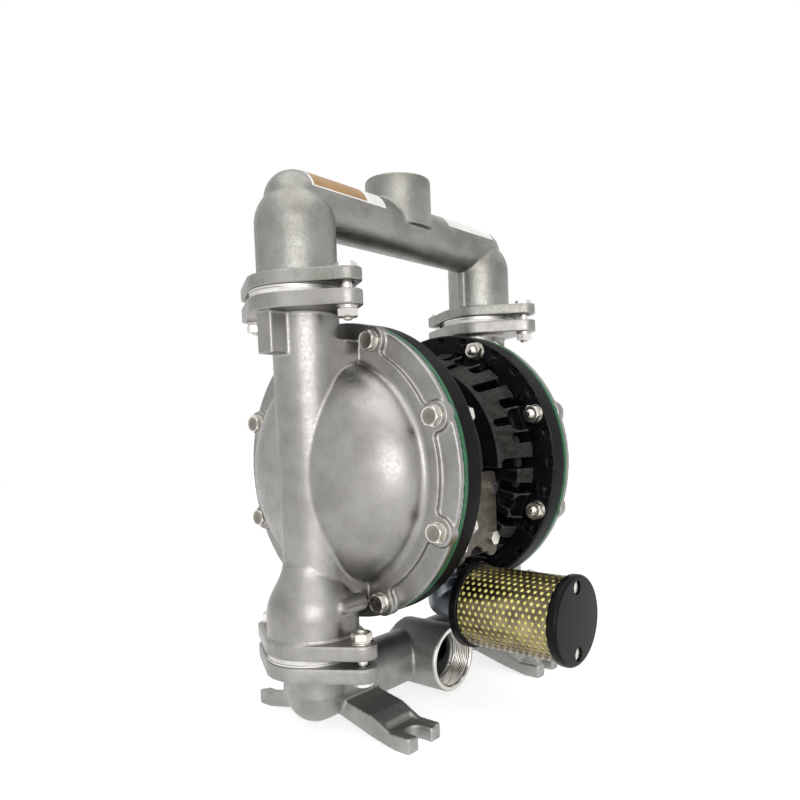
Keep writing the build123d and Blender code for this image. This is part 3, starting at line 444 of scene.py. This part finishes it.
def lathe(outline, steps=64):
    """Points of a closed (height, radius) outline carried round +Z: x = r cos a, y = r sin a, z = height."""
    outline = np.asarray(outline, float)
    angle = np.linspace(0, 2 * pi, steps, endpoint=False)
    height, radius = outline[:, 0][:, None], outline[:, 1][:, None]
    points = np.stack([radius * np.cos(angle), radius * np.sin(angle), height + 0 * angle], axis=-1)
    return points.reshape(-1, 3), grid_faces(len(outline), steps, wrap_rows=True, wrap_columns=True)


def hexagon(flats, height, bore=0.0, steps=48):
    """Chamfered hexagon standing on z = 0. Its radius at angle a is half the flats over cos of the angle from the
    nearest flat, and a 30 degree cone cuts the top corners. With a bore it is a nut, without one a head."""
    angle = np.linspace(0, 2 * pi, steps, endpoint=False)
    half, ones = flats / 2, np.ones(steps)
    crown = 0.97 * half     # radius of the flat end, where the cone starts
    rim = half / np.cos((angle + pi / 6) % (pi / 3) - pi / 6)
    drop = (rim - crown) * tan(pi / 6)
    top = (height - (0.0 if bore else 0.06 * half)) * ones      # a head is dished a little
    rows = [(bore * ones, 0 * ones), (crown * ones, 0 * ones), (rim, 0.5 * drop), (rim, height - drop),
            (crown * ones, height * ones), (0.80 * half * ones, top), (bore * ones, top)]
    radius, level = (np.stack(part) for part in zip(*rows))
    points = np.stack([radius * np.cos(angle), radius * np.sin(angle), level], axis=-1)
    return points.reshape(-1, 3), grid_faces(len(rows), steps, wrap_rows=bool(bore), wrap_columns=True)


def screw_thread(radius, pitch, depth, start, end, steps=24, per_pitch=6):
    """Rod from start to end with a helical thread: its radius falls by depth times the triangle wave of z / pitch
    minus angle / 360. The first and last turns fade out and a low dome closes the start."""
    count = int((end - start) / pitch * per_pitch) + 1
    z = np.linspace(start, end, count)[:, None]
    angle = np.linspace(0, 2 * pi, steps, endpoint=False)[None, :]
    wave = np.abs(2 * ((z / pitch - angle / (2 * pi)) % 1) - 1)
    fade = np.clip(np.minimum(z - start, end - z) / (0.5 * pitch), 0, 1)
    r = radius - depth * (1 - wave * fade)
    dome = np.linspace(0, pi / 2, 5)[:, None]
    r = np.vstack([(radius - depth) * np.sin(dome) + 0 * angle, r, 0 * r[:1]])
    z = np.vstack([start - 1.4 * np.cos(dome), z, z[-1:]])
    points = np.stack([r * np.cos(angle), r * np.sin(angle), z + 0 * angle], axis=-1)
    return points.reshape(-1, 3), grid_faces(count + 6, steps, wrap_columns=True)


def spring_washer(inner, outer, thickness, steps=40):
    """Split ring of square section that climbs by a fifth of its thickness round its one turn."""
    angle = np.linspace(0.06, 2 * pi - 0.06, steps)[None, :]
    radius = np.array([inner, outer, outer, inner])[:, None]
    level = np.array([0, 0, 1, 1])[:, None] * 0.8 * thickness + 0.2 * thickness * angle / (2 * pi)
    points = np.stack([radius * np.cos(angle), radius * np.sin(angle), level], axis=-1)
    ends = np.array([[0, 1, 2, 3], [3, 2, 1, 0]]) * steps + np.array([[0], [steps - 1]])
    return points.reshape(-1, 3), np.vstack([grid_faces(4, steps, wrap_rows=True), ends])


def raised(shape, height):
    """The shape moved up its axis."""
    return shape[0] + [0, 0, height], shape[1]


def join(*shapes):
    """One shape from several (points, faces) pairs."""
    points, faces, start = [], [], 0
    for part_points, part_faces in shapes:
        points.append(part_points)
        faces.append(part_faces + start)
        start += len(part_points)
    return np.vstack(points), np.vstack(faces)


def repeat(shape, places, axis, spin=0.0):
    """Copies of a shape at each place, its +Z turned to axis, and each turned about it by a random angle."""
    points, faces = shape
    axis = Vector(axis)
    turn = axis.to_track_quat("Z", "Y").to_matrix()
    placed = []
    for place in places:
        twist = Matrix.Rotation(random.uniform(-spin, spin), 3, "Z")
        placed.append((points @ np.array(turn @ twist).T + np.array(place), faces))
    return join(*placed)


FLATS = 17      # across the flats of an M10 head or nut
print("a hexagon has", len(hexagon(FLATS, 6.4)[1]), "faces")


# %% [markdown]
# ## Cover bolts
# Eight M10 bolts clamp each cover, the diaphragm and the air chamber. The head is a cold forged hexagon with a
# chamfered crown, on a flat washer. At the back a spring washer and a nut sit on the thread, whose last turns show.

# %% Bolts, nuts and washers of both covers
LAND = 105.5            # outer face of the cover's bolt lobes
RIM_BACK = 66.3         # back of the air chamber's rim
BOLT_CIRCLE = 135.2     # radius of the circle that the bolts stand on
M10 = (5.0, 1.5, 0.92)  # radius, pitch and depth of the thread
HEAD, NUT = 6.4, 7.2    # heights of the head and the nut
WASHER, THIN_WASHER, SPRING = 2.0, 1.0, 1.8     # thickness under the head and, with the spring one, under the nut
BOLT_END = 54.7         # from under the head to the end of the thread
bolt_angles = np.radians(22.5 + 45 * np.arange(8))


def on_circle(x, angles, circle):
    """Places round the shaft: x, y = -circle sin a, z = shaft height + circle cos a."""
    return np.stack([0 * angles + x, -circle * np.sin(angles), SHAFT + circle * np.cos(angles)], axis=-1)


def shank(length):
    """Plain part of a bolt, from under its head down."""
    return lathe(soften([(0, 0), (0, 5), (-length, 5), (-length, 0)], 0.3), 24)


def washer(thickness, corner):
    """Flat washer with rounded corners."""
    return lathe(soften([(0, 5.1), (0, 10), (thickness, 10), (thickness, 5.1)], corner), 40)


bolt_head = join(hexagon(FLATS, HEAD), shank(30))
thread_end = screw_thread(*M10, -BOLT_END, -28)
nut_shape = hexagon(FLATS, NUT, bore=4.9)
flat_ring = washer(WASHER, 0.35)
under_nut = join(washer(THIN_WASHER, 0.2), raised(spring_washer(5.2, 8.7, SPRING), THIN_WASHER))
for side, way in (("left", -1), ("right", 1)):
    axis = (way, 0, 0)
    inward = (-way, 0, 0)
    outer = on_circle(way * (LAND + WASHER), bolt_angles, BOLT_CIRCLE)
    piece = build(f"{side}_cover_bolt_set", *repeat(join(bolt_head, thread_end), outer, axis, pi))
    dress(piece, bolt_steel, "housing", "stainless_fittings", f"{side}_cover_bolts")
    back = on_circle(way * (RIM_BACK - THIN_WASHER - SPRING), bolt_angles, BOLT_CIRCLE)
    piece = build(f"{side}_cover_nut_set", *repeat(nut_shape, back, inward, pi))
    dress(piece, bolt_steel, "housing", "stainless_fittings", f"{side}_cover_nuts")
    fronts = repeat(flat_ring, on_circle(way * LAND, bolt_angles, BOLT_CIRCLE), axis)
    backs = repeat(under_nut, on_circle(way * RIM_BACK, bolt_angles, BOLT_CIRCLE), inward, pi)
    piece = build(f"{side}_cover_washer_set", *join(fronts, backs))
    dress(piece, bolt_steel, "housing", "stainless_fittings", f"{side}_cover_washers")
print("cover fasteners:", 2 * 8 * 5)


# %% [markdown]
# ## Flange bolts
# Each of the four joints between a cover and a manifold is held by two bolts through the flange ears. The outlet
# joints have their heads on top, the inlet joints below, and the nuts stand on the cover's flanges.

# %% Bolts and nuts of the four joints
EAR = 64.8              # joint's centre to each of its two bolts
LOW_HEAD = 4.6          # height of these bolts' heads
PROUD = 1.5             # thread that shows beyond the nut
# height of the face under the heads, height of the face under the nuts, and the way the heads point
JOINTS = {"outlet": (434.15, 401.25, 1), "inlet": (64.25, 98.75, -1)}


def joint_places(height):
    """The four bolt places of the two joints at one height."""
    return [(x, y, height) for x in (-COLUMN, COLUMN) for y in (-EAR, EAR)]


stacked_nut = join(under_nut, raised(nut_shape, THIN_WASHER + SPRING))
for name, (head_face, nut_face, way) in JOINTS.items():
    length = abs(head_face - nut_face) + THIN_WASHER + SPRING + NUT + PROUD
    bolt = join(hexagon(FLATS, LOW_HEAD), shank(25), screw_thread(*M10, -length, -24))
    piece = build(f"{name}_joint_bolts", *repeat(bolt, joint_places(head_face), (0, 0, way), pi))
    dress(piece, bolt_steel, "housing", "stainless_fittings", f"{name}_flange_bolts")
    piece = build(f"{name}_joint_nuts", *repeat(stacked_nut, joint_places(nut_face), (0, 0, -way), pi))
    dress(piece, bolt_steel, "housing", "stainless_fittings", f"{name}_flange_nuts")
print("joint fasteners:", 16)


# %% [markdown]
# ## Retaining rings
# Each white seat lies between two flanges. On the manifold's side a thin grooved steel ring holds it in the mouth of
# the casting, so that only half of its edge shows white. It is one small lathe profile at the four joints.

# %% Steel rings round the seats
RETAINER = [(0.1, 44.2), (0.1, 44.9), (0.9, 44.9), (1.0, 45.7),     # height over the flange, radius
            (1.9, 45.7), (2.0, 44.9), (3.1, 44.9), (3.1, 44.2)]
FLANGE_FACES = {"outlet": (421.7, -1), "inlet": (78.3, 1)}      # height of each manifold's flanges, way to the seat
for name, (height, way) in FLANGE_FACES.items():
    rings = repeat(lathe(RETAINER, 96), [(-COLUMN, 0, height), (COLUMN, 0, height)], (0, 0, way))
    dress(build(f"{name}_retaining_rings", *rings), plain_steel, "housing", "plain_steel", f"{name}_manifold")
print("retaining rings:", 4)


# %% [markdown]
# ## Pipe threads
# Both liquid ports have a 2 inch pipe thread, eleven turns to the inch, and the air inlet a half inch one. The
# radius of such a hole falls and rises along its axis, and the whole pattern turns once round for each pitch. Each
# mouth is faced flat on a lathe, so a bright ring frames the darker casting.

# %% Threaded ports
def threaded_mouth(radius, depth, pitch, length, rim, steps=96, per_pitch=8):
    """Lining of a threaded hole with its mouth at z = 0 and its faced rim. The inner radius is the bore's less
    depth times one minus the triangle wave of z / pitch minus angle / 360."""
    count = int(length / pitch * per_pitch)
    z = np.linspace(-1.2, -length, count)[:, None]
    angle = np.linspace(0, 2 * pi, steps, endpoint=False)[None, :]
    wave = np.abs(2 * ((z / pitch - angle / (2 * pi)) % 1) - 1)
    fade = np.clip(np.minimum(-1.2 - z, z + length) / pitch, 0, 1)
    thread = radius - depth * (1 - wave) * fade
    around = 0 * angle
    outside = [(-length, radius + 0.5), (-0.6, radius + 0.5), (-0.6, rim), (-0.1, rim), (0.15, rim - 0.25),
               (0.15, radius + 0.9)]
    level, reach = (np.array(part)[:, None] + around for part in zip(*outside))
    radii = np.vstack([thread, reach])
    levels = np.vstack([z + around, level])
    points = np.stack([radii * np.cos(angle), radii * np.sin(angle), levels], axis=-1)
    return points.reshape(-1, 3), grid_faces(len(radii), steps, wrap_rows=True, wrap_columns=True)


PORT_THREAD, PORT_DEPTH = (29.8, 1.48, 2.309), 25       # radius, depth and pitch of the thread, then its length
AIR_THREAD, AIR_DEPTH = (9.3, 1.16, 1.814), 17
pipe_thread = threaded_mouth(*PORT_THREAD, PORT_DEPTH, 34.4)
air_thread = threaded_mouth(*AIR_THREAD, AIR_DEPTH, 14, steps=64)
for name, shape, place, axis, node in (
    ("outlet_thread", pipe_thread, (0, 0, 557.2), (0, 0, 1), "outlet_manifold"),
    ("inlet_thread", pipe_thread, (0, -55.7, 40.3), (0, -1, 0), "inlet_manifold"),
    ("air_thread", air_thread, (0, 154.5, SHAFT), (0, 1, 0), "air_valve_body"),
):
    piece = build(name, *repeat(shape, [place], axis))
    dress(piece, machined_rim, "housing", "stainless_fittings", node)
print("turns in a port:", int(PORT_DEPTH / PORT_THREAD[2]))


# %% [markdown]
# ## Stickers
# Two stickers lie on the upper front of the outlet pipe. A sticker bends with the pipe, so it is a grid whose one
# direction runs along the pipe and whose other is an angle round it. Here both are left plain.

# %% Stickers on the outlet pipe
PIPE_HEIGHT = 505.6     # floor to the middle of the outlet pipe


def sticker(start, end, low, high, outer, inner, steps=24):
    """Curved sheet between two places along the pipe, two angles from its top and two radii."""
    angle = np.radians(np.linspace(low, high, steps))
    angle = np.concatenate([angle, angle[::-1]])
    radius = np.repeat([outer, inner], steps)
    section = np.stack([0 * angle, -radius * np.sin(angle), PIPE_HEIGHT + radius * np.cos(angle)], axis=-1)
    ends = [section + (x, 0, 0) for x in (start, end)]
    points = np.vstack(ends)
    skin = grid_faces(2, 2 * steps, wrap_columns=True)
    k = np.arange(steps - 1)
    cap = np.stack([k, k + 1, 2 * steps - 2 - k, 2 * steps - 1 - k], axis=-1)
    return points, np.vstack([skin, cap, cap[:, ::-1] + 2 * steps])


for name, shape, material in (      # from and to along the pipe, two angles, outer and inner radius
    ("left_label", sticker(-147, -49, 12, 72.5, 28.15, 27.5), label_white),
    ("left_label_band", sticker(-144.5, -76, 15, 69, 28.25, 28.0), label_tan),
    ("right_label", sticker(57, 146, 12, 65, 28.15, 27.5), label_white),
):
    dress(build(name, *shape), material, "housing", "white_ptfe", "outlet_manifold")
print("stickers:", 2)


# %% [markdown]
# ## Muffler sleeve
# The sleeve is punched sheet, rolled into a tube: round holes in staggered rows. Each hole sits in one rectangular
# cell, and every second row of cells is shifted by half a cell, like bricks. A cell has twelve points on its edge
# and twelve round its hole, so that neighbouring cells share their points and the sheet closes without a seam.

# %% Perforated sleeve
PITCH = 6.86            # hole to hole along the muffler
ROWS = 42               # rows of holes round it
HOLE = 2.0              # hole radius
SLEEVE_AXIS = (-20.0, 110.6)    # side and height of the muffler's axis
SLEEVE_FRONT, SLEEVE_BACK = -208.4, -105.0
SLEEVE_OUT, SLEEVE_IN = 39.8, 38.6


def sleeve_sheet():
    """Flat pattern as (along, around) points with faces of bricks with a hole, then the margin left at each end and
    the width of a row.
    """
    around = 2 * pi * SLEEVE_OUT / ROWS
    cells = int((SLEEVE_BACK - SLEEVE_FRONT) / PITCH)
    margin = (SLEEVE_BACK - SLEEVE_FRONT - cells * PITCH) / 2
    step, half = PITCH / 4, around / 2
    edge = np.array([(2, 0), (2, 1), (1, 1), (0, 1), (-1, 1), (-2, 1),
                     (-2, 0), (-2, -1), (-1, -1), (0, -1), (1, -1), (2, -1)]) * (step, half)
    turn = np.arange(12) * pi / 6
    hole = HOLE * np.stack([np.cos(turn), np.sin(turn)], axis=-1)
    ring = grid_faces(2, 12, wrap_columns=True)
    points, faces = [], []
    for row in range(ROWS):
        shift = PITCH / 2 * (row % 2)
        count = cells - (row % 2)
        centres = SLEEVE_FRONT + margin + shift + PITCH * (np.arange(count) + 0.5)
        for centre in centres:
            start = 24 * len(points)
            points.append(np.vstack([edge, hole]) + (centre, row * around))
            faces.append(ring + start)
    return np.vstack(points), np.vstack(faces), margin, around


def sleeve():
    """Bends the sheet round the muffler's axis, outside and inside, and joins both with the hole walls."""
    flat, quads, margin, around = sleeve_sheet()
    angle = flat[:, 1] / SLEEVE_OUT
    walls = []
    for radius in (SLEEVE_OUT, SLEEVE_IN):
        walls.append(np.stack([SLEEVE_AXIS[0] + radius * np.sin(angle), flat[:, 0],
                               SLEEVE_AXIS[1] + radius * np.cos(angle)], axis=-1))
    count = len(flat)
    cells = count // 24
    hole = np.arange(12) + 12
    start = 24 * np.arange(cells)[:, None]
    a, b = start + hole, start + np.roll(hole, -1)
    rims = np.stack([a, b, b + count, a + count], axis=-1).reshape(-1, 4)
    return np.vstack(walls), np.vstack([quads, quads[:, ::-1] + count, rims])


piece = build("perforated_sleeve", *sleeve())
dress(piece, sleeve_steel, "housing", "perforated_steel", "muffler_sleeve")
print("holes in the sleeve:", ROWS * int((SLEEVE_BACK - SLEEVE_FRONT) / PITCH) - ROWS // 2)


# %% [markdown]
# ## Pieces that keep their CAD shape
# Caps, seats, balls, washers and the hidden working parts already have their true shape. They are copied with
# merged points so that round faces shade smoothly, and each gets the finish of its real material.

# %% Turned pieces
for node, material, slot in (
    ("muffler_inner_cap", cap_enamel, "black_paint"), ("muffler_outer_cap", cap_enamel, "black_paint"),
    ("filter_element", felt, "yellow_felt"), ("muffler_screws", bolt_steel, "stainless_fittings"),
    ("exhaust_nipples", galvanised, "galvanised"), ("front_plate", plate_steel, "brown_plate"),
    ("plate_bolts", bolt_steel, "stainless_fittings"), ("valve_gasket", black_rubber, "black_rubber"),
    ("valve_screws", bolt_steel, "stainless_fittings"), ("shaft_bushes", bronze, "bronze"),
    ("shaft_seals", black_rubber, "black_rubber"),
):
    turned(node, material, "housing", slot)
for side in ("left", "right"):
    turned(f"{side}_valve_cap", block_black, "housing", "black_casting")
    turned(f"{side}_chamber_screws", plain_steel, "housing", "plain_steel")
    turned(f"{side}_inner_washer", plain_steel, "shaft", "plain_steel")
    turned(f"{side}_outer_washer", bolt_steel, "shaft", "stainless_fittings")
    for level in ("outlet", "inlet"):
        turned(f"{side}_{level}_seat", white_ptfe, "housing", "white_ptfe")
        turned(f"{side}_{level}_ball", white_ptfe, f"{side}_{level}_check", "white_ptfe", 80)
turned("pump_shaft", bolt_steel, "shaft", "stainless_fittings")
turned("valve_spool", spool_aluminium, "spool", "anodised")
turned("pilot_rod", bolt_steel, "rod", "stainless_fittings")


# %% [markdown]
# ## Diaphragms
# Each diaphragm is one moulded rubber disc. Its rim is clamped between cover and chamber, where its green edge
# shows, and its centre moves with the shaft. Here each keeps its CAD shape, with merged points, smooth shading and
# the green rubber.

# %% Diaphragms
for side in ("left", "right"):
    piece = merged_copy(f"{side}_diaphragm", f"{side}_diaphragm_disc")
    shade(piece.data)
    piece.data.materials.append(green_rubber)
    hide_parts(f"{side}_diaphragm")
    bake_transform(piece)
print("diaphragms:", 2)


# %% [markdown]
# ## Air chamber walls
# The deep pockets at the back of each air chamber end in a wall before its air space. A lathe makes that wall as a
# thin ring: flat where the air space is flat, then sloping outwards with it.

# %% Rings behind the pockets
WALL = [(68.3, 92.0), (68.3, 99.5), (75.8, 107.0), (76.7, 106.1), (69.6, 99.0), (69.6, 92.0)]    # along, radius
for side, way in (("left", -1), ("right", 1)):
    ring = repeat(lathe(WALL, 96), [(0, 0, SHAFT)], (way, 0, 0))
    dress(build(f"{side}_chamber_wall", *ring), block_black, "housing", "black_casting", f"{side}_air_chamber")
print("chamber walls:", 2)


# %% [markdown]
# ## Floor, light and camera
# The pump stands on a plain pale floor in a light room. Rays from the camera, rays off metal and rays through glass
# see the room at white or brighter and the floor lifted towards white, so bare metal reflects the same background
# that the picture shows. All other light comes from the room's own spread, brighter on one side, and from two
# large soft lamps. The floor's lift adds to its paint, so the pump's shadow stays on it.

# %% Floor and world
FLOOR_LIFT = 0.68       # glow of the floor, as a share of white, for the rays that show the background
FLOOR_HALF, FLOOR_DROP = 4, 0.0005              # half the floor's width and its depth under the feet, in metres
BRIGHT_SIDE = Vector((-0.75, -0.59, 0.30))      # where the room is brightest
DIM_ROOM, BRIGHT_ROOM = 0.30, 1.42              # strength of the room on its two sides


def larger(tree, first, second):
    """The larger of two values."""
    return add(tree, "ShaderNodeMath", {"operation": "MAXIMUM"}, {0: first, 1: second})


def seen_white(tree):
    """One for the rays that show the background: from the camera, off metal and through glass. Else nothing."""
    path = add(tree, "ShaderNodeLightPath").outputs
    return larger(tree, larger(tree, path["Is Camera Ray"], path["Is Glossy Ray"]), path["Is Transmission Ray"])


floor_mesh = bpy.data.meshes.new("floor")
corners = [(x * FLOOR_HALF, y * FLOOR_HALF, -FLOOR_DROP) for x, y in ((-1, -1), (1, -1), (1, 1), (-1, 1))]
floor_mesh.from_pydata(corners, [], [(0, 1, 2, 3)])
floor = bpy.data.objects.new("floor", floor_mesh)
bpy.context.scene.collection.objects.link(floor)
floor_paint, tree, shader = new_material("pale_floor", "#c4c4c4", Roughness=0.9)
lift = add(tree, "ShaderNodeMath", {"operation": "MULTIPLY", 1: FLOOR_LIFT}, {0: seen_white(tree)})
glow = add(tree, "ShaderNodeEmission", links={"Strength": lift})
both = add(tree, "ShaderNodeAddShader", links={0: shader, 1: glow})
tree.links.new(both.outputs[0], tree.nodes["Material Output"].inputs["Surface"])
floor_mesh.materials.append(floor_paint)

world = bpy.data.worlds.new("studio")
bpy.context.scene.world = world
world.use_nodes = True
tree = world.node_tree
background = tree.nodes["Background"]
direction = add(tree, "ShaderNodeTexCoord").outputs["Generated"]
facing = add(tree, "ShaderNodeVectorMath", {"operation": "DOT_PRODUCT", 1: BRIGHT_SIDE}, {0: direction})
room = spread(tree, facing.outputs["Value"], -0.10, 0.95, DIM_ROOM, BRIGHT_ROOM)
strength = larger(tree, room, seen_white(tree))
tree.links.new(strength.outputs[0], background.inputs["Strength"])
background.inputs["Color"].default_value = (1, 1, 1, 1)
print("world:", world.name)


# %% Soft lamps
def soft_lamp(name, place, target, size, power):
    """Rectangular area lamp at a place, facing a target, with its power in watts."""
    lamp = bpy.data.lights.new(name, "AREA")
    lamp.shape = "RECTANGLE"
    lamp.size, lamp.size_y = size
    lamp.energy = power
    holder = bpy.data.objects.new(name, lamp)
    holder.location = place
    holder.rotation_euler = (Vector(target) - Vector(place)).to_track_quat("-Z", "Y").to_euler()
    bpy.context.scene.collection.objects.link(holder)


middle = (0, 0, 0.28)
soft_lamp("overhead", (-0.3, -0.3, 2.0), middle, (2.2, 2.2), 20)
soft_lamp("front_bank", (-1.6, -1.75, 0.5), middle, (1.8, 1.4), 24)
print("lamps:", 2)


# %% Camera
def camera_turn(heading, rise, roll):
    """Rotation whose columns are the camera's right, up and backward directions. The heading turns from +Y to +X,
    the rise lifts the view and the roll tips the camera."""
    a, b, c = np.radians([heading, rise, roll])
    forward = np.array([sin(a) * cos(b), cos(a) * cos(b), sin(b)])
    right = np.array([cos(a), -sin(a), 0.0])
    up = np.cross(right, forward)
    rolled_right = right * cos(c) + up * sin(c)
    rolled_up = up * cos(c) - right * sin(c)
    return Matrix(np.stack([rolled_right, rolled_up, -forward], axis=-1).tolist())


EYE = (-0.58625, -0.51159, 0.2949)              # where the camera stands, in metres
lens = bpy.data.cameras.new("camera")
lens.sensor_width = 36
lens.lens = 31.39
lens.shift_x = -0.0402
lens.shift_y = 0.0854
camera = bpy.data.objects.new("camera", lens)
camera.matrix_world = Matrix.Translation(EYE) @ camera_turn(50.86, -3.65, -2.03).to_4x4()
bpy.context.scene.collection.objects.link(camera)
bpy.context.scene.camera = camera
bpy.context.scene.view_settings.view_transform = "Standard"
print("lens:", lens.lens, "mm")
